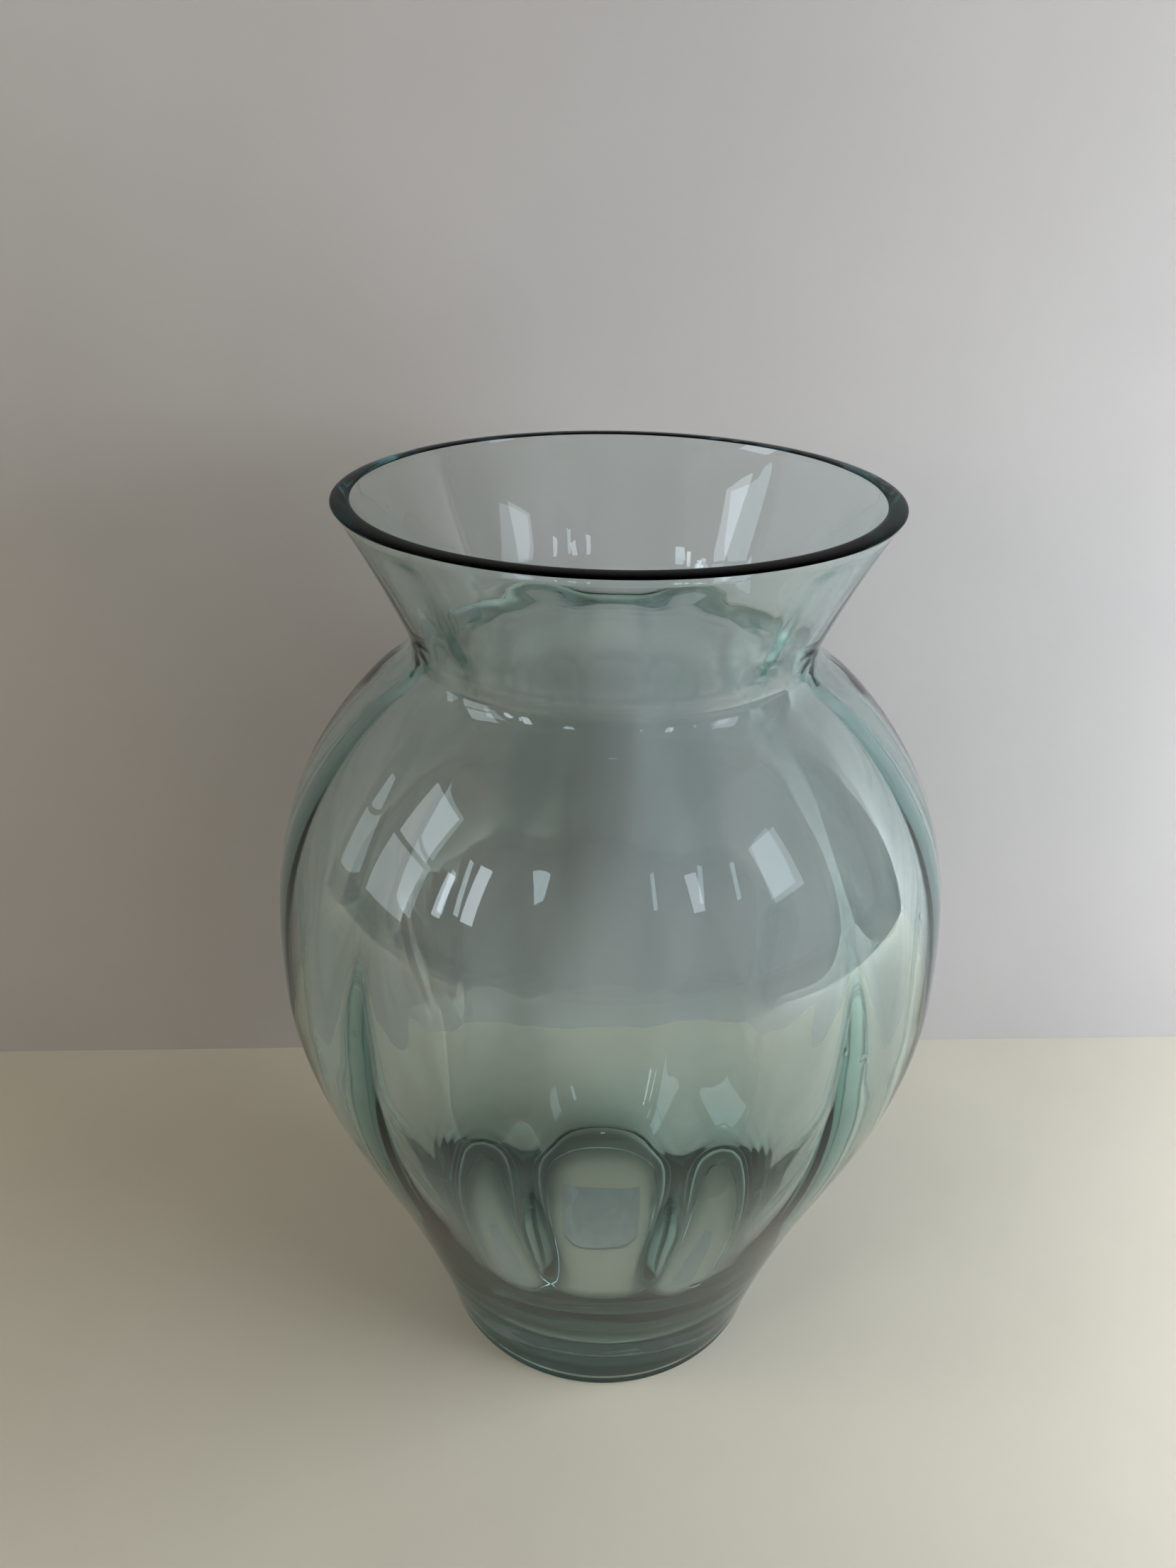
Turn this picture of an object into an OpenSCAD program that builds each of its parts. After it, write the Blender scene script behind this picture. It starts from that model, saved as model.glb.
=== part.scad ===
// Mould-blown glass vase with soft ribs on its inner wall, a solid foot,
// a flared neck with a flat ground rim, and a blank paper label under the foot.
// Millimetres, +Z up, origin on the axis in the plane that the foot stands on.

/* [Outside] */
// Height from the table to the ground rim
height = 230; // [220:1:250]
// Diameter over the ground rim
rim_d = 120; // [112:1:132]
// Smallest diameter, at the neck
neck_d = 90; // [84:1:94]
// Height of the neck above the table
neck_z = 197; // [192:1:200]
// Largest diameter, at the belly
belly_d = 160; // [150:1:172]
// Height of the belly's largest diameter above the table
belly_z = 118; // [108:1:126]
// Diameter of the foot at the table
foot_d = 88; // [80:1:96]

/* [Glass] */
// Wall thickness between ribs at the rim
rim_wall = 3.6; // [3:0.1:5]
// Wall thickness between ribs low on the body
low_wall = 5; // [4:0.1:6]
// Thickness of the solid glass under the floor of the cavity
base_thickness = 15; // [12:1:22]
// Height over which the cavity closes from wall to floor
bowl_height = 44; // [40:1:56]

/* [Ribs] */
// Number of ribs round the inner wall
rib_count = 12; // [8:1:16]
// How far a rib stands in from the wall at the rim
rim_rib = 0.2; // [0.1:0.1:0.6]
// How far a rib would stand in from the wall at the foot, if it didn't fade out
low_rib = 2.8; // [1:0.1:3.4]
// Height above the floor over which the ribs fade out
rib_fade = 100; // [60:5:120]

/* [Edges] */
// Width of the ground bevel round the outside of the rim
rim_bevel = 0.8; // [0.4:0.1:1.2]
// Radius of the fire-polished edge round the foot
foot_edge = 2; // [1:0.5:3]
// Diameter of the shallow hollow ground under the foot
hollow_d = 72; // [66:1:74]
// Depth of the hollow under the foot
hollow_depth = 0.8; // [0.5:0.1:1.5]

/* [Label] */
// Width of the paper label, left to right
label_w = 38; // [30:1:46]
// Length of the paper label, front to back
label_l = 20; // [16:1:28]
// Thickness of the paper label
label_t = 0.2; // [0.1:0.05:0.3]
// Distance of the label's middle behind the axis
label_back = 1; // [-6:1:4]

/* [Hidden] */

$fn = 180;
GLASS = [0.50, 0.62, 0.60, 0.55];
PAPER = [0.74, 0.77, 0.80];

rim_r = rim_d / 2;
neck_r = neck_d / 2;
belly_r = belly_d / 2;
foot_r = foot_d / 2;
lower_slope = (belly_r - foot_r) / belly_z;

// Stations up the outside, each [height, radius, change of radius with height]
STATIONS = [
    [0, foot_r, 0.79 * lower_slope],
    [0.51 * belly_z, foot_r + 0.536 * (belly_r - foot_r), 1.31 * lower_slope],
    [belly_z, belly_r, 0],
    [neck_z - 11, neck_r + 11, -1],
    [neck_z, neck_r, 0],
    [neck_z + 6, neck_r + 1.4, 0.44],
    [height, rim_r, 0.6]
];

// Cubic curve from station a to station b, at height z
function between(a, b, z) =
    let (span = b[0] - a[0], t = (z - a[0]) / span)
    (2 * t^3 - 3 * t^2 + 1) * a[1] + (t^3 - 2 * t^2 + t) * span * a[2]
    + (3 * t^2 - 2 * t^3) * b[1] + (t^3 - t^2) * span * b[2];

// Outer radius at height z
function outer_r(z, i = 0) =
    z <= STATIONS[i + 1][0] || i == len(STATIONS) - 2
        ? between(STATIONS[i], STATIONS[i + 1], z)
        : outer_r(z, i + 1);

// Horizontal thickness that a wall of thickness t has at height z
STEP = 0.1;
function sideways(t, z) =
    let (slope = (outer_r(z) - outer_r(z - STEP)) / STEP)
    t * sqrt(1 + slope^2);

// Share of the way down from the rim to the foot, at height z
function down(z) = 1 - z / height;

// Wall thickness between ribs at height z, growing towards the foot
function wall(z) = rim_wall + (low_wall - rim_wall) * down(z)^2;

// Share of a rib that is left at height z, from 0 at the floor to 1 above the fade
function kept(z) =
    let (rise = min(1, max(0, (z - base_thickness) / rib_fade)))
    rise^2 * (3 - 2 * rise);

// Rib height at height z
function rib(z) = kept(z) * (rim_rib + (low_rib - rim_rib) * down(z));

// Height of one rib at angle a, from 0 between ribs to 1 on a rib's crest
RIB_SHARPNESS = 2.4;
function crest(a) = ((1 - cos(rib_count * a)) / 2)^RIB_SHARPNESS;

// Radius of the inner wall at height z and angle a
function inner_r(z, a) = outer_r(z) - sideways(wall(z) + rib(z) * crest(a), z);

// Outline of the solid glass: ground foot, rounded edge, body, bevelled rim
BODY_STEPS = 72;
EDGE_STEPS = 6;
foot_flat_r = outer_r(foot_edge) - foot_edge;
OUTLINE = [
    [0, 0],
    for (i = [0 : EDGE_STEPS - 1])
        let (a = 90 * i / EDGE_STEPS)
        [foot_flat_r + foot_edge * sin(a), foot_edge * (1 - cos(a))],
    for (i = [0 : BODY_STEPS])
        let (z = foot_edge + (height - rim_bevel - foot_edge) * i / BODY_STEPS)
        [outer_r(z), z],
    [outer_r(height - rim_bevel) - rim_bevel, height],
    [0, height]
];

// Cavity: a floor point, rings that open into the bowl, rings up the wall,
// and a last ring above the rim that leaves a narrow bevel inside the edge
RING_POINTS = 6 * rib_count;
BOWL_RINGS = 16;
WALL_RINGS = 34;
FLOOR_FLATNESS = 0.35;
INNER_BEVEL = 0.4;
ABOVE = 1;
bowl_top = base_thickness + bowl_height;
mouth_z = height - INNER_BEVEL;

function bowl_ring(i) =
    let (turn = 90 * (i / BOWL_RINGS)^2, z = bowl_top - bowl_height * cos(turn))
    [for (k = [0 : RING_POINTS - 1])
        let (a = 360 * k / RING_POINTS, r = inner_r(z, a) * sin(turn)^FLOOR_FLATNESS)
        [r * sin(a), -r * cos(a), z]];

function wall_ring(i) =
    let (z = bowl_top + (mouth_z - bowl_top) * i / WALL_RINGS)
    [for (k = [0 : RING_POINTS - 1])
        let (a = 360 * k / RING_POINTS, r = inner_r(z, a))
        [r * sin(a), -r * cos(a), z]];

function top_ring() =
    [for (k = [0 : RING_POINTS - 1])
        let (a = 360 * k / RING_POINTS, r = inner_r(mouth_z, a) + INNER_BEVEL + ABOVE)
        [r * sin(a), -r * cos(a), height + ABOVE]];

module cavity() {
    rings = [
        for (i = [1 : BOWL_RINGS]) bowl_ring(i),
        for (i = [1 : WALL_RINGS]) wall_ring(i),
        top_ring()
    ];
    points = [[0, 0, base_thickness], for (ring = rings) each ring];
    function at(i, k) = 1 + i * RING_POINTS + k % RING_POINTS;
    faces = [
        for (k = [0 : RING_POINTS - 1]) [0, at(0, k), at(0, k + 1)],
        for (i = [0 : len(rings) - 2], k = [0 : RING_POINTS - 1])
            each [
                [at(i, k), at(i + 1, k), at(i + 1, k + 1)],
                [at(i, k), at(i + 1, k + 1), at(i, k + 1)]
            ],
        [for (k = [RING_POINTS - 1 : -1 : 0]) at(len(rings) - 1, k)]
    ];
    polyhedron(points, faces, convexity = 4);
}

// Hollow under the foot, so that only a ring of glass touches the table
module foot_hollow() {
    translate([0, 0, -1])
        cylinder(d = hollow_d, h = 1 + hollow_depth);
}

module vase_glass() {
    color(GLASS)
        difference() {
            rotate_extrude() polygon(OUTLINE);
            cavity();
            foot_hollow();
        }
}

// Outline of the label with its rounded corners
LABEL_CORNER = 1.5;
module label_outline() {
    square([label_w - 2 * LABEL_CORNER, label_l], center = true);
    square([label_w, label_l - 2 * LABEL_CORNER], center = true);
    for (x = [-1, 1], y = [-1, 1])
        translate([x * (label_w / 2 - LABEL_CORNER), y * (label_l / 2 - LABEL_CORNER)])
            circle(LABEL_CORNER, $fn = 48);
}

module base_label() {
    color(PAPER)
        translate([0, label_back, hollow_depth - label_t])
            linear_extrude(label_t) label_outline();
}

vase_glass();
base_label();
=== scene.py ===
"""Blown glass vase with soft inner ribs, a solid foot, a flared mouth and a blank paper label.

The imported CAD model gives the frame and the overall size. This script builds the finished
glass and label round it, in metres, +Z up, with the vase's axis on the Z axis.
"""

import logging
import math
from collections.abc import Callable
from dataclasses import dataclass
from enum import Enum

import bmesh
import bpy
from mathutils import Euler, Matrix, Vector

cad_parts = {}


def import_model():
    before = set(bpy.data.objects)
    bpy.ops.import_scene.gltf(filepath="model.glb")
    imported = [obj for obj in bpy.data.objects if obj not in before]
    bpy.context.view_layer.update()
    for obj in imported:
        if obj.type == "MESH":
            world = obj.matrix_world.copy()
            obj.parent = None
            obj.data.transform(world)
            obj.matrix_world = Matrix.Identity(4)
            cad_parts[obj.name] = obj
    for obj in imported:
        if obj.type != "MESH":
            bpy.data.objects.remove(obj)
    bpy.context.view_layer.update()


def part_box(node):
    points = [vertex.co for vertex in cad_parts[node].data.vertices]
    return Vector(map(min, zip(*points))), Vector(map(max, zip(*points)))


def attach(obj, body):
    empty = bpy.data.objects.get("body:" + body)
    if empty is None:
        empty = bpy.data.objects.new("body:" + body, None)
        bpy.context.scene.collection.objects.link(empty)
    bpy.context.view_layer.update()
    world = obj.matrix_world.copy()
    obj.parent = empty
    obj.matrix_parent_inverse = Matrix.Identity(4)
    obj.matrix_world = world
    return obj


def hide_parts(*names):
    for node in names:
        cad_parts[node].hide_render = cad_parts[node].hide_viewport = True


LOG = logging.getLogger("vase")
MM = 0.001
LIGHT_BOUNCES = 40
FLOAT_SOCKET = "NodeSocketFloat"
MIX_COLOUR_B = 7
MIX_COLOUR_RESULT = 2

Point = tuple[float, float]
Colour = tuple[float, float, float]


class Side(Enum):
    """Which skin of the glass a point lies on."""

    OUTER = "outer"
    INNER = "inner"


# ---------------------------------------------------------------- modelling helpers


def only(obj: bpy.types.Object) -> bpy.types.Object:
    """Deselects everything, then selects one object and makes it active.

    Args:
        obj: The object to work on.

    Returns:
        The same object.
    """
    bpy.ops.object.select_all(action="DESELECT")
    obj.select_set(True)
    bpy.context.view_layer.objects.active = obj
    return obj


def settle(obj: bpy.types.Object) -> None:
    """Moves an object's place, turn and size into its mesh."""
    only(obj)
    bpy.ops.object.transform_apply(location=True, rotation=True, scale=True)


def apply_modifiers(obj: bpy.types.Object) -> None:
    """Applies every modifier of an object, in order."""
    only(obj)
    for modifier in list(obj.modifiers):
        bpy.ops.object.modifier_apply(modifier=modifier.name)


def pick(obj: bpy.types.Object, wanted: str, test: Callable[[object], bool]) -> int:
    """Selects the vertices, edges or faces of a mesh in edit mode that pass a test.

    Args:
        obj: The object in edit mode.
        wanted: One of "verts", "edges" and "faces".
        test: A function of one BMesh element that says whether to select it.

    Returns:
        How many elements were selected.
    """
    mesh = bmesh.from_edit_mesh(obj.data)
    mode = {"verts": "VERT", "edges": "EDGE", "faces": "FACE"}[wanted]
    bpy.ops.mesh.select_mode(type=mode)
    bpy.ops.mesh.select_all(action="DESELECT")
    found = [element for element in getattr(mesh, wanted) if test(element)]
    for element in found:
        element.select_set(True)
    mesh.select_flush_mode()
    bmesh.update_edit_mesh(obj.data)
    return len(found)


def smooth(obj: bpy.types.Object, degrees: float) -> None:
    """Shades a mesh smooth, and keeps edges sharper than an angle crisp."""
    only(obj)
    bpy.ops.object.shade_smooth_by_angle(angle=math.radians(degrees))


# ---------------------------------------------------------------- shader helpers


class Nodes:
    """A short way to add and join shader nodes in one node tree."""

    def __init__(self, tree: bpy.types.NodeTree) -> None:
        """Starts on a tree.

        Args:
            tree: The node tree of a material, group or world.
        """
        self.tree = tree

    def add(self, kind: str, **values: object) -> bpy.types.Node:
        """Adds a node and sets its plain values.

        Args:
            kind: The node's type name.
            **values: Properties by name, or sockets by name with spaces as underscores.

        Returns:
            The new node.
        """
        node = self.tree.nodes.new(kind)
        for name, value in values.items():
            if hasattr(node, name):
                setattr(node, name, value)
            else:
                node.inputs[name.replace("_", " ")].default_value = value
        return node

    def join(self, source: bpy.types.NodeSocket, target: bpy.types.NodeSocket) -> None:
        """Links an output socket to an input socket."""
        self.tree.links.new(source, target)


def blank_material(name: str) -> tuple[bpy.types.Material, Nodes]:
    """Makes a material with an empty node tree.

    Args:
        name: The material's name.

    Returns:
        The material and a helper on its tree.
    """
    material = bpy.data.materials.new(name)
    material.use_nodes = True
    material.node_tree.nodes.clear()
    return material, Nodes(material.node_tree)


class Effects:
    """Shader node groups that more than one finish uses."""

    @staticmethod
    def _start(
        name: str, inputs: dict[str, float]
    ) -> tuple[bpy.types.NodeTree, Nodes, bpy.types.Node, bpy.types.Node]:
        """Opens a group with value inputs and one output called Value.

        Args:
            name: The group's name.
            inputs: Value inputs and their defaults.

        Returns:
            The group, a node helper, its input node and its output node.
        """
        group = bpy.data.node_groups.new(name, "ShaderNodeTree")
        for label, default in inputs.items():
            socket = group.interface.new_socket(label, in_out="INPUT", socket_type=FLOAT_SOCKET)
            socket.default_value = default
        group.interface.new_socket("Value", in_out="OUTPUT", socket_type=FLOAT_SOCKET)
        nodes = Nodes(group)
        return group, nodes, nodes.add("NodeGroupInput"), nodes.add("NodeGroupOutput")

    @classmethod
    def mottle(cls) -> bpy.types.NodeTree:
        """Soft cloudy variation, as on hand-made glass, paper and paint.

        Returns:
            A group with Scale, Detail, Low and High inputs and a Value output.
        """
        found = bpy.data.node_groups.get("mottle")
        if found:
            return found
        inputs = {"Scale": 30.0, "Detail": 4.0, "Low": 0.0, "High": 1.0}
        group, nodes, start, end = cls._start("mottle", inputs)
        place = nodes.add("ShaderNodeTexCoord")
        noise = nodes.add("ShaderNodeTexNoise", Roughness=0.55)
        spread = nodes.add("ShaderNodeMapRange")
        spread.inputs["From Min"].default_value = 0.3
        spread.inputs["From Max"].default_value = 0.7
        nodes.join(place.outputs["Object"], noise.inputs["Vector"])
        nodes.join(start.outputs["Scale"], noise.inputs["Scale"])
        nodes.join(start.outputs["Detail"], noise.inputs["Detail"])
        nodes.join(noise.outputs["Fac"], spread.inputs["Value"])
        nodes.join(start.outputs["Low"], spread.inputs["To Min"])
        nodes.join(start.outputs["High"], spread.inputs["To Max"])
        nodes.join(spread.outputs["Result"], end.inputs["Value"])
        return group


    @classmethod
    def seeds(cls) -> bpy.types.NodeTree:
        """Sparse round specks, as the seed bubbles in blown glass.

        Returns:
            A group with Scale, Share and Size inputs and a Value output, 1 in a speck.
        """
        found = bpy.data.node_groups.get("seeds")
        if found:
            return found
        inputs = {"Scale": 90.0, "Share": 0.1, "Size": 0.15}
        group, nodes, start, end = cls._start("seeds", inputs)
        place = nodes.add("ShaderNodeTexCoord")
        cells = nodes.add("ShaderNodeTexVoronoi", Randomness=0.9)
        chosen = nodes.add("ShaderNodeMath", operation="LESS_THAN")
        speck = nodes.add("ShaderNodeMapRange", interpolation_type="SMOOTHSTEP")
        speck.inputs["To Min"].default_value = 1.0
        speck.inputs["To Max"].default_value = 0.0
        pick_one = nodes.add("ShaderNodeSeparateColor")
        both = nodes.add("ShaderNodeMath", operation="MULTIPLY")
        nodes.join(place.outputs["Object"], cells.inputs["Vector"])
        nodes.join(start.outputs["Scale"], cells.inputs["Scale"])
        nodes.join(cells.outputs["Color"], pick_one.inputs["Color"])
        nodes.join(pick_one.outputs["Red"], chosen.inputs[0])
        nodes.join(start.outputs["Share"], chosen.inputs[1])
        nodes.join(cells.outputs["Distance"], speck.inputs["Value"])
        nodes.join(start.outputs["Size"], speck.inputs["From Max"])
        nodes.join(speck.outputs["Result"], both.inputs[0])
        nodes.join(chosen.outputs["Value"], both.inputs[1])
        nodes.join(both.outputs["Value"], end.inputs["Value"])
        return group


def place_effect(
    nodes: Nodes, group: bpy.types.NodeTree, **values: float
) -> bpy.types.Node:
    """Adds a shared effect to a material, with its inputs set.

    Args:
        nodes: The material's node helper.
        group: The effect's node group.
        **values: The effect's inputs by name.

    Returns:
        The group node.
    """
    node = nodes.add("ShaderNodeGroup")
    node.node_tree = group
    for name, value in values.items():
        node.inputs[name].default_value = value
    return node


def mottled_surface(
    nodes: Nodes, colour: Colour, scale: float, low: float, high: float, roughness: float
) -> bpy.types.Node:
    """Adds a matt surface whose colour varies softly.

    Args:
        nodes: The material's node helper.
        colour: The middle colour.
        scale: How fine the variation is.
        low: Brightness of the darkest parts.
        high: Brightness of the lightest parts.
        roughness: Roughness of the surface.

    Returns:
        The surface's shader node.
    """
    cloud = place_effect(nodes, Effects.mottle(), Scale=scale, Low=low, High=high)
    shade = nodes.add("ShaderNodeMix", data_type="RGBA", blend_type="MULTIPLY")
    shade.inputs["Factor"].default_value = 1.0
    shade.inputs["A"].default_value = (*colour, 1)
    surface = nodes.add("ShaderNodeBsdfPrincipled", Roughness=roughness)
    nodes.join(cloud.outputs["Value"], shade.inputs[MIX_COLOUR_B])
    nodes.join(shade.outputs[MIX_COLOUR_RESULT], surface.inputs["Base Color"])
    return surface


# ---------------------------------------------------------------- finishes


@dataclass(frozen=True)
class TintedGlass:
    """Clear soda glass with a blue-green tint that deepens where the glass is thick."""

    tint: Colour = (0.14, 0.50, 0.48)
    density: float = 45.0
    ior: float = 1.5
    surface_colour: Colour = (1.0, 1.0, 1.0)
    ripple_mm: float = 0.05
    ripple_scale: float = 26
    seed_mm: float = 0.12
    seed_scale: float = 95
    seed_share: float = 0.06
    seed_size: float = 0.16
    name: str = "tinted_glass"

    def material(self) -> bpy.types.Material:
        """Builds the glass.

        Returns:
            The finished material.
        """
        material, nodes = blank_material(self.name)
        surface = nodes.add("ShaderNodeBsdfPrincipled", IOR=self.ior)
        surface.inputs["Base Color"].default_value = (*self.surface_colour, 1)
        surface.inputs["Transmission Weight"].default_value = 1.0
        surface.inputs["Roughness"].default_value = 0.0
        ripple = place_effect(
            nodes,
            Effects.mottle(),
            Scale=self.ripple_scale,
            Detail=1,
            Low=0,
            High=self.ripple_mm,
        )
        seeds = place_effect(
            nodes,
            Effects.seeds(),
            Scale=self.seed_scale,
            Share=self.seed_share,
            Size=self.seed_size,
        )
        pits = nodes.add("ShaderNodeMath", operation="MULTIPLY_ADD")
        pits.inputs[1].default_value = -self.seed_mm
        relief = nodes.add("ShaderNodeBump", Strength=1.0, Distance=MM)
        nodes.join(seeds.outputs["Value"], pits.inputs[0])
        nodes.join(ripple.outputs["Value"], pits.inputs[2])
        nodes.join(pits.outputs["Value"], relief.inputs["Height"])
        nodes.join(relief.outputs["Normal"], surface.inputs["Normal"])
        volume = nodes.add("ShaderNodeVolumeAbsorption", Density=self.density)
        volume.inputs["Color"].default_value = (*self.tint, 1)
        out = nodes.add("ShaderNodeOutputMaterial")
        nodes.join(surface.outputs["BSDF"], out.inputs["Surface"])
        nodes.join(volume.outputs["Volume"], out.inputs["Volume"])
        return material


@dataclass(frozen=True)
class LabelPaper:
    """Matt, pale blue-grey label paper with a faint fibre grain."""

    colour: Colour = (0.45, 0.46, 0.47)
    grain_scale: float = 180
    darkest: float = 0.9
    lightest: float = 1.04
    roughness: float = 0.7
    name: str = "label_paper"

    def material(self) -> bpy.types.Material:
        """Builds the paper.

        Returns:
            The finished material.
        """
        material, nodes = blank_material(self.name)
        surface = mottled_surface(
            nodes, self.colour, self.grain_scale, self.darkest, self.lightest, self.roughness
        )
        out = nodes.add("ShaderNodeOutputMaterial")
        nodes.join(surface.outputs["BSDF"], out.inputs["Surface"])
        return material


@dataclass(frozen=True)
class StagePaint:
    """Plain matt paint for the floor and the wall behind."""

    name: str
    colour: Colour
    one_sided: bool = False
    cloud_scale: float = 9
    darkest: float = 0.97
    lightest: float = 1.03
    roughness: float = 0.65

    def material(self) -> bpy.types.Material:
        """Builds the paint. A one-sided wall is clear from behind.

        Returns:
            The finished material.
        """
        material, nodes = blank_material(self.name)
        surface = mottled_surface(
            nodes, self.colour, self.cloud_scale, self.darkest, self.lightest, self.roughness
        )
        out = nodes.add("ShaderNodeOutputMaterial")
        if self.one_sided:
            clear = nodes.add("ShaderNodeBsdfTransparent")
            side = nodes.add("ShaderNodeNewGeometry")
            mix = nodes.add("ShaderNodeMixShader")
            nodes.join(side.outputs["Backfacing"], mix.inputs["Fac"])
            nodes.join(surface.outputs["BSDF"], mix.inputs[1])
            nodes.join(clear.outputs["BSDF"], mix.inputs[2])
            nodes.join(mix.outputs["Shader"], out.inputs["Surface"])
        else:
            nodes.join(surface.outputs["BSDF"], out.inputs["Surface"])
        return material


# ---------------------------------------------------------------- the vase


@dataclass
class VaseGlass:
    """The blown glass body: its shape in metres, and how it is built and finished."""

    height: float
    belly_r: float
    rim_r: float = 60 * MM
    neck_r: float = 45 * MM
    neck_z: float = 197 * MM
    belly_z: float = 118 * MM
    foot_r: float = 44 * MM
    rim_wall: float = 3.6 * MM
    low_wall: float = 5.0 * MM
    base_thickness: float = 15 * MM
    bowl_height: float = 44 * MM
    floor_flatness: float = 0.35
    fade_height: float = 100 * MM
    rim_rib: float = 0.2 * MM
    rim_fade: float = 2.5 * MM
    low_rib: float = 2.8 * MM
    rib_sharpness: float = 2.4
    rib_count: int = 12
    rim_bevel: float = 0.7 * MM
    lip_drop: float = 0.4 * MM
    rim_steps: int = 7
    rim_squareness: float = 0.8
    rim_peak: float = 0.35
    ring_pitch: float = 7.5 * MM
    ring_depth: float = 0.10 * MM
    ring_top: float = 46 * MM
    foot_edge: float = 2 * MM
    hollow_r: float = 36 * MM
    hollow_depth: float = 0.8 * MM
    hollow_rings: int = 6
    edge_steps: int = 8
    steps_per_rib: int = 20
    outer_steps: int = 100
    inner_steps: int = 84
    bowl_steps: int = 30
    bowl_crowding: float = 1.8

    def stations(self) -> list[tuple[float, float, float]]:
        """Stations up the outside.

        Returns:
            Height, radius and change of radius with height at each station.
        """
        lower = (self.belly_r - self.foot_r) / self.belly_z
        middle_r = self.foot_r + 0.536 * (self.belly_r - self.foot_r)
        return [
            (0.0, self.foot_r, 0.79 * lower),
            (0.51 * self.belly_z, middle_r, 1.31 * lower),
            (self.belly_z, self.belly_r, 0.0),
            (self.neck_z - 11 * MM, self.neck_r + 11 * MM, -1.0),
            (self.neck_z, self.neck_r, 0.0),
            (self.neck_z + 6 * MM, self.neck_r + 1.4 * MM, 0.44),
            (self.height, self.rim_r, 0.6),
        ]

    def outer(self, z: float) -> float:
        """Outer radius at a height, on a cubic curve between two stations.

        Args:
            z: Height above the table.

        Returns:
            The radius.
        """
        stops = self.stations()
        for low, high in zip(stops, stops[1:]):
            if z <= high[0] or high is stops[-1]:
                span = high[0] - low[0]
                t = (z - low[0]) / span
                return (
                    (2 * t**3 - 3 * t**2 + 1) * low[1]
                    + (t**3 - 2 * t**2 + t) * span * low[2]
                    + (3 * t**2 - 2 * t**3) * high[1]
                    + (t**3 - t**2) * span * high[2]
                )
        raise ValueError("no station holds that height")

    def skin(self, z: float) -> float:
        """Outer radius at a height, with the faint turned rings low on the foot."""
        fade = max(0.0, min(1.0, (self.ring_top - z) / (0.4 * self.ring_top)))
        dip = (1 - math.cos(math.tau * z / self.ring_pitch)) / 2
        return self.outer(z) - self.ring_depth * fade * dip

    def slope(self, z: float) -> float:
        """Change of the outer radius with height, at a height."""
        step = 0.1 * MM
        return (self.outer(z) - self.outer(z - step)) / step

    def down(self, z: float) -> float:
        """Share of the way from the rim down to the foot, at a height."""
        return 1 - z / self.height

    def wall(self, z: float) -> float:
        """Wall thickness between ribs, at a height."""
        return self.rim_wall + (self.low_wall - self.rim_wall) * self.down(z) ** 2

    def rib(self, z: float) -> float:
        """How far a rib stands in from the wall, at a height; ribs fade out towards the floor."""
        rise = min(1.0, max(0.0, (z - self.base_thickness) / self.fade_height))
        fade = rise * rise * (3 - 2 * rise)
        return fade * (self.rim_rib + (self.low_rib - self.rim_rib) * self.down(z))

    def crest(self, angle: float) -> float:
        """Height of the ribs at an angle from the front, from 0 between them to 1 on a crest."""
        return ((1 - math.cos(self.rib_count * angle)) / 2) ** self.rib_sharpness

    def inner(self, z: float) -> float:
        """Radius of the inner wall between ribs, at a height."""
        return self.outer(z) - self.wall(z) * math.hypot(1, self.slope(z))

    def outline(self) -> list[Point]:
        """The glass in section, from the middle of its underside round to the cavity's floor.

        Returns:
            Points as radius and height.
        """
        flat_r = self.outer(self.foot_edge) - self.foot_edge
        lip = self.hollow_depth
        points = [(0.0, lip)]
        rings = self.hollow_rings
        points += [(self.hollow_r * k / rings, lip) for k in range(1, rings)]
        points += [(self.hollow_r - lip, lip), (self.hollow_r, 0.25 * lip)]
        points.append((self.hollow_r + 0.3 * MM, 0.0))
        for k in range(self.edge_steps + 1):
            turn = math.radians(90 * k / self.edge_steps)
            points.append(
                (flat_r + self.foot_edge * math.sin(turn), self.foot_edge * (1 - math.cos(turn)))
            )
        top = self.height - self.rim_bevel
        for k in range(1, self.outer_steps + 1):
            z = self.foot_edge + (top - self.foot_edge) * k / self.outer_steps
            points.append((self.skin(z), z))
        mouth_z = self.height - self.lip_drop
        points += self.rim(self.outer(top), top, self.inner(mouth_z), mouth_z)
        bowl_top = self.base_thickness + self.bowl_height
        for k in range(self.inner_steps + 1):
            z = mouth_z + (bowl_top - mouth_z) * k / self.inner_steps
            points.append((self.inner(z), z))
        for k in range(1, self.bowl_steps + 1):
            turn = math.radians(90 * (1 - k / self.bowl_steps) ** self.bowl_crowding)
            z = bowl_top - self.bowl_height * math.cos(turn)
            points.append((self.inner(z) * math.sin(turn) ** self.floor_flatness, z))
        return points

    def rim(self, outer_r: float, outer_z: float, inner_r: float, inner_z: float) -> list[Point]:
        """The polished rim: a low crown with a small round at each edge.

        Args:
            outer_r: Radius where the outer wall ends.
            outer_z: Height where the outer wall ends.
            inner_r: Radius where the inner wall starts.
            inner_z: Height where the inner wall starts.

        Returns:
            Points between those two ends.
        """
        peak_r = inner_r + self.rim_peak * (outer_r - inner_r)
        points = []
        for k in range(1, self.rim_steps):
            turn = math.radians(90 * k / self.rim_steps)
            points.append(
                (
                    peak_r + (outer_r - peak_r) * math.cos(turn) ** self.rim_squareness,
                    outer_z + (self.height - outer_z) * math.sin(turn) ** self.rim_squareness,
                )
            )
        points.append((peak_r, self.height))
        for k in range(self.rim_steps - 1, 0, -1):
            turn = math.radians(90 * k / self.rim_steps)
            points.append(
                (
                    peak_r - (peak_r - inner_r) * math.cos(turn) ** self.rim_squareness,
                    inner_z + (self.height - inner_z) * math.sin(turn) ** self.rim_squareness,
                )
            )
        return points

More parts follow.
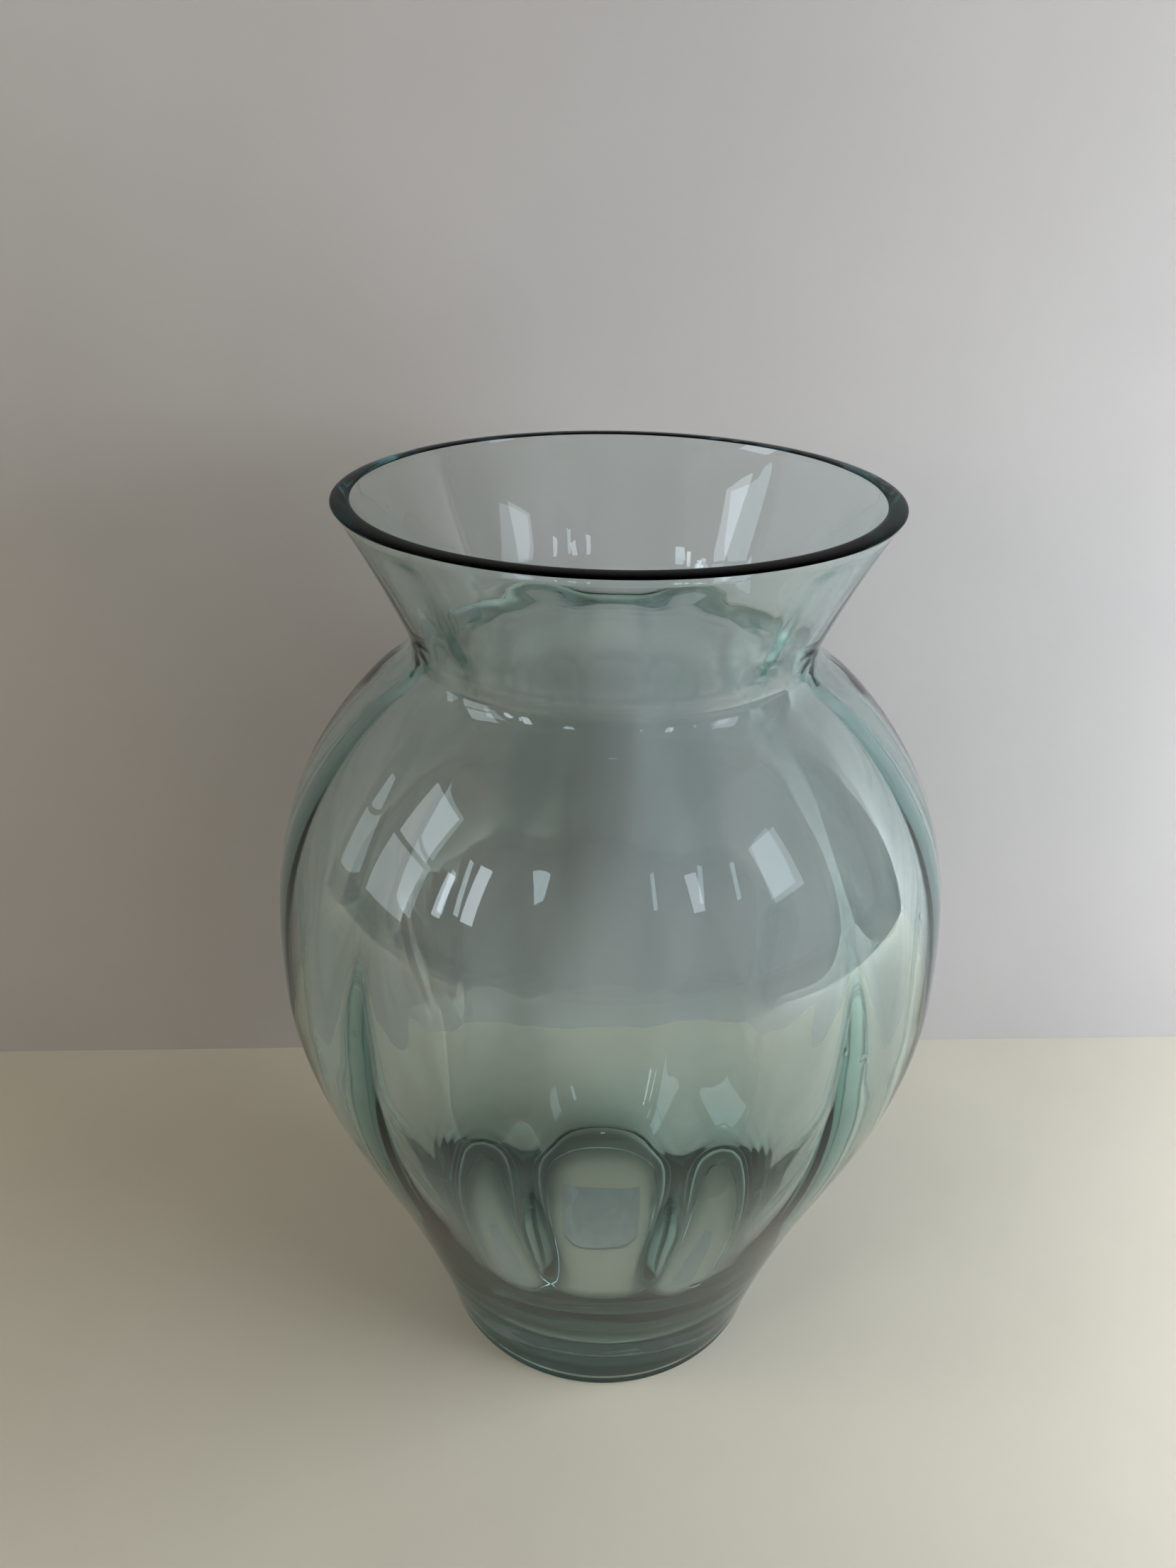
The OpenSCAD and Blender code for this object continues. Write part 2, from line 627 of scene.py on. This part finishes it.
    def side(self, radius: float, z: float) -> Side:
        """Says which skin of the glass a point lies on."""
        just_under_floor = self.base_thickness - 0.01 * MM
        if z < just_under_floor:
            return Side.OUTER
        return Side.INNER if radius < self.outer(z) - 0.5 * self.wall(z) else Side.OUTER

    def lathe(self) -> bpy.types.Object:
        """Draws the outline by extruding a point, then spins it round the axis.

        Returns:
            A closed glass body with a plain inner wall.
        """
        bpy.ops.object.select_all(action="DESELECT")
        points = self.outline()
        bpy.ops.mesh.primitive_plane_add(size=1, location=(points[0][0], 0, points[0][1]))
        obj = bpy.context.object
        obj.name = "vase_glass_blown"
        settle(obj)
        bpy.ops.object.mode_set(mode="EDIT")
        bpy.ops.mesh.select_all(action="SELECT")
        bpy.ops.mesh.merge(type="CENTER")
        for (r0, z0), (r1, z1) in zip(points, points[1:]):
            bpy.ops.mesh.extrude_region_move(
                TRANSFORM_OT_translate={"value": (0, -(r1 - r0), z1 - z0)}
            )
        bpy.ops.mesh.select_all(action="SELECT")
        bpy.ops.mesh.spin(
            steps=self.rib_count * self.steps_per_rib,
            angle=math.tau,
            center=(0, 0, 0),
            axis=(0, 0, 1),
        )
        bpy.ops.mesh.select_all(action="SELECT")
        bpy.ops.mesh.remove_doubles(threshold=0.002 * MM)
        bpy.ops.mesh.normals_make_consistent(inside=False)
        bpy.ops.object.mode_set(mode="OBJECT")
        return obj

    def raise_ribs(self, obj: bpy.types.Object) -> None:
        """Weights the inner wall by the ribs' height and pushes it in by that much."""
        group = obj.vertex_groups.new(name="ribs")
        for vertex in obj.data.vertices:
            x, y, z = vertex.co
            radius = math.hypot(x, y)
            if self.side(radius, z) is Side.OUTER:
                continue
            below_rim = min(1.0, max(0.0, (self.height - z) / self.rim_fade - 1))
            weight = below_rim * self.crest(math.atan2(x, -y)) * self.rib(z) / self.low_rib
            group.add([vertex.index], weight, "REPLACE")
        push = obj.modifiers.new("ribs", "DISPLACE")
        push.vertex_group = group.name
        push.direction = "NORMAL"
        push.mid_level = 0.0
        push.strength = self.low_rib
        apply_modifiers(obj)
        obj.vertex_groups.clear()

    def build(
        self,
        material: bpy.types.Material,
        shaded_rim_material: bpy.types.Material,
    ) -> bpy.types.Object:
        """Builds the finished glass.

        Args:
            material: The glass.
            shaded_rim_material: The glass on the rim faces, a darker copy that passes less light:
                painted shade on the rim.

        Returns:
            The piece.
        """
        obj = self.lathe()
        self.raise_ribs(obj)
        smooth(obj, 32)
        obj.data.materials.clear()
        for finish in (material, shaded_rim_material):
            obj.data.materials.append(finish)
        for face in obj.data.polygons:
            # Faces on the rim take the darker glass, which is painted shade on the rim.
            face.material_index = int(face.center.z > self.height - self.rim_bevel)
        return obj


@dataclass
class BaseLabel:
    """The blank paper label stuck up in the hollow under the foot."""

    low: Vector
    high: Vector
    corner: float = 1.5 * MM

    def build(self, material: bpy.types.Material) -> bpy.types.Object:
        """Builds the label as a thin sheet with rounded corners.

        Args:
            material: The paper.

        Returns:
            The piece.
        """
        size = self.high - self.low
        bpy.ops.object.select_all(action="DESELECT")
        bpy.ops.mesh.primitive_cube_add(size=1, location=(self.low + self.high) / 2, scale=size)
        obj = bpy.context.object
        obj.name = "base_label_paper"
        settle(obj)
        bpy.ops.object.mode_set(mode="EDIT")
        pick(obj, "edges", lambda e: abs(e.verts[0].co.z - e.verts[1].co.z) > 0.5 * size.z)
        bpy.ops.mesh.bevel(offset=self.corner, segments=8, profile=0.5)
        bpy.ops.object.mode_set(mode="OBJECT")
        smooth(obj, 40)
        obj.data.materials.append(material)
        return obj


# ---------------------------------------------------------------- stage, light and camera


@dataclass(frozen=True)
class ViewPoint:
    """Where the camera stands and how it is turned."""

    back: float = 0.2476
    up: float = 0.2910
    aside: float = -1.27
    tilt_down: float = 28.01
    roll: float = 0.75
    lens: float = 27.03

    def make(self) -> None:
        """Adds the camera."""
        data = bpy.data.cameras.new("camera")
        data.lens = self.lens
        data.sensor_width = 36.0
        data.clip_start = 0.01
        data.dof.use_dof = False
        camera = bpy.data.objects.new("camera", data)
        bpy.context.scene.collection.objects.link(camera)
        turn = Matrix.Rotation(-math.radians(self.aside), 4, "Z")
        turn @= Matrix.Rotation(math.radians(90 - self.tilt_down), 4, "X")
        turn @= Matrix.Rotation(math.radians(self.roll), 4, "Z")
        camera.matrix_world = Matrix.Translation((0, -self.back, self.up)) @ turn
        bpy.context.scene.camera = camera


@dataclass(frozen=True)
class Panel:
    """A rectangular soft light."""

    name: str
    place: tuple[float, float, float]
    target: tuple[float, float, float]
    width: float
    tall: float
    watts: float
    colour: Colour = (1, 1, 1)
    spread: float = math.pi
    mirrored: bool = True

    def make(self) -> None:
        """Adds the light, turned towards its target; only a mirrored one shows in the glass."""
        data = bpy.data.lights.new(self.name, "AREA")
        data.shape = "RECTANGLE"
        data.size, data.size_y = self.width, self.tall
        data.energy = self.watts
        data.color = self.colour
        data.spread = self.spread
        lamp = bpy.data.objects.new(self.name, data)
        lamp.visible_glossy = lamp.visible_transmission = self.mirrored
        bpy.context.scene.collection.objects.link(lamp)
        lamp.location = self.place
        aim = Vector(self.target) - Vector(self.place)
        lamp.rotation_euler = aim.to_track_quat("-Z", "Y").to_euler()


@dataclass(frozen=True)
class Stage:
    """The table, the wall behind it and the light in the room."""

    wall_y: float = 0.094
    gap: float = 0.05 * MM
    table: Colour = (0.635, 0.590, 0.490)
    wall: Colour = (0.490, 0.463, 0.440)
    wall_turn: float = 3.5
    room: Colour = (0.90, 0.94, 1.0)
    room_strength: float = 0.02
    contrast: float = 0.8

    def sheet(self, name: str, size: float, place: Vector, turn: Euler) -> bpy.types.Object:
        """Adds one large flat sheet of the stage.

        Args:
            name: The sheet's name.
            size: Length of its sides.
            place: Its middle.
            turn: How it is turned.

        Returns:
            The sheet.
        """
        bpy.ops.object.select_all(action="DESELECT")
        bpy.ops.mesh.primitive_plane_add(size=size, location=place, rotation=turn)
        obj = bpy.context.object
        obj.name = name
        settle(obj)
        return obj

    def make(self) -> None:
        """Builds the stage and lights it."""
        table = self.sheet("table", 4.0, Vector((0, 0, -self.gap)), Euler((0, 0, 0)))
        table.data.materials.append(StagePaint("table_paint", self.table).material())
        upright = Euler((math.radians(90), 0, math.radians(self.wall_turn)))
        wall = self.sheet("wall", 4.0, Vector((0, self.wall_y, 2.0)), upright)
        wall.data.materials.append(StagePaint("wall_paint", self.wall, True).material())
        world = bpy.data.worlds.new("room")
        bpy.context.scene.world = world
        world.use_nodes = True
        sky = world.node_tree.nodes["Background"]
        sky.inputs["Color"].default_value = (*self.room, 1)
        sky.inputs["Strength"].default_value = self.room_strength
        middle = (0, 0, 0.12)
        warm, cool, rosy = (1.0, 0.92, 0.77), (0.83, 0.90, 1.0), (1.0, 0.67, 0.65)
        for panel in (
            Panel("window_left", (-0.95, -0.38, 0.32), middle, 1.0, 0.7, 6.1, warm, mirrored=False),
            Panel("window_right", (0.56, -0.11, 0.20), middle, 0.6, 0.4, 7.2, cool, mirrored=False),
            Panel("room_left", (-1.3, -0.5, 0.8), middle, 1.6, 1.4, 1.8, warm),
            Panel("room_right", (0.9, -0.4, 0.6), middle, 1.2, 1.2, 1.3, cool),
            Panel("sash_left_high", (-1.1, -0.3, 0.80), middle, 0.34, 0.36, 1.5, cool),
            Panel("sash_left_low", (-1.1, -0.3, 0.38), middle, 0.34, 0.36, 1.2, cool),
            Panel("sash_right", (0.85, -0.45, 0.62), middle, 0.22, 0.34, 0.7, cool),
            Panel("pane_left", (-0.62, -0.62, 0.5), middle, 0.07, 0.30, 0.55, cool),
            Panel("pane_left_far", (-0.72, -0.50, 0.42), middle, 0.05, 0.22, 0.25, cool),
            Panel("pane_right", (0.42, -0.72, 0.62), middle, 0.06, 0.20, 0.2, cool),
            Panel("overhead", (0, -0.02, 0.85), (0, 0, 0), 0.03, 0.03, 0.24, rosy, 0.12),
        ):
            panel.make()
        bpy.context.scene.view_settings.view_transform = "Standard"
        bpy.context.scene.view_settings.gamma = self.contrast


def main() -> None:
    """Builds the glass and the label round the frame, then the stage and the camera."""
    logging.basicConfig(level=logging.INFO, format="%(name)s: %(message)s")
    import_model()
    low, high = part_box("vase_glass")
    glass = VaseGlass(height=high.z, belly_r=min(high.x, high.y))
    # A darker teal copy of the glass with a low IOR, for the rim faces: painted shade on the rim.
    rim = TintedGlass(surface_colour=(0.28, 0.44, 0.47), ior=1.15, name="tinted_glass_rim_painted_shade")
    body = glass.build(TintedGlass().material(), rim.material())
    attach(body, "root")
    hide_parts("vase_glass")
    LOG.info("%s: %d vertices", body.name, len(body.data.vertices))
    label = BaseLabel(*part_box("base_label")).build(LabelPaper().material())
    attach(label, "root")
    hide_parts("base_label")
    LOG.info("%s: %d vertices", label.name, len(label.data.vertices))
    Stage().make()
    ViewPoint().make()
    scene = bpy.context.scene
    scene.cycles.max_bounces = LIGHT_BOUNCES
    scene.cycles.glossy_bounces = LIGHT_BOUNCES
    scene.cycles.transmission_bounces = LIGHT_BOUNCES


if __name__ == "__main__":
    main()
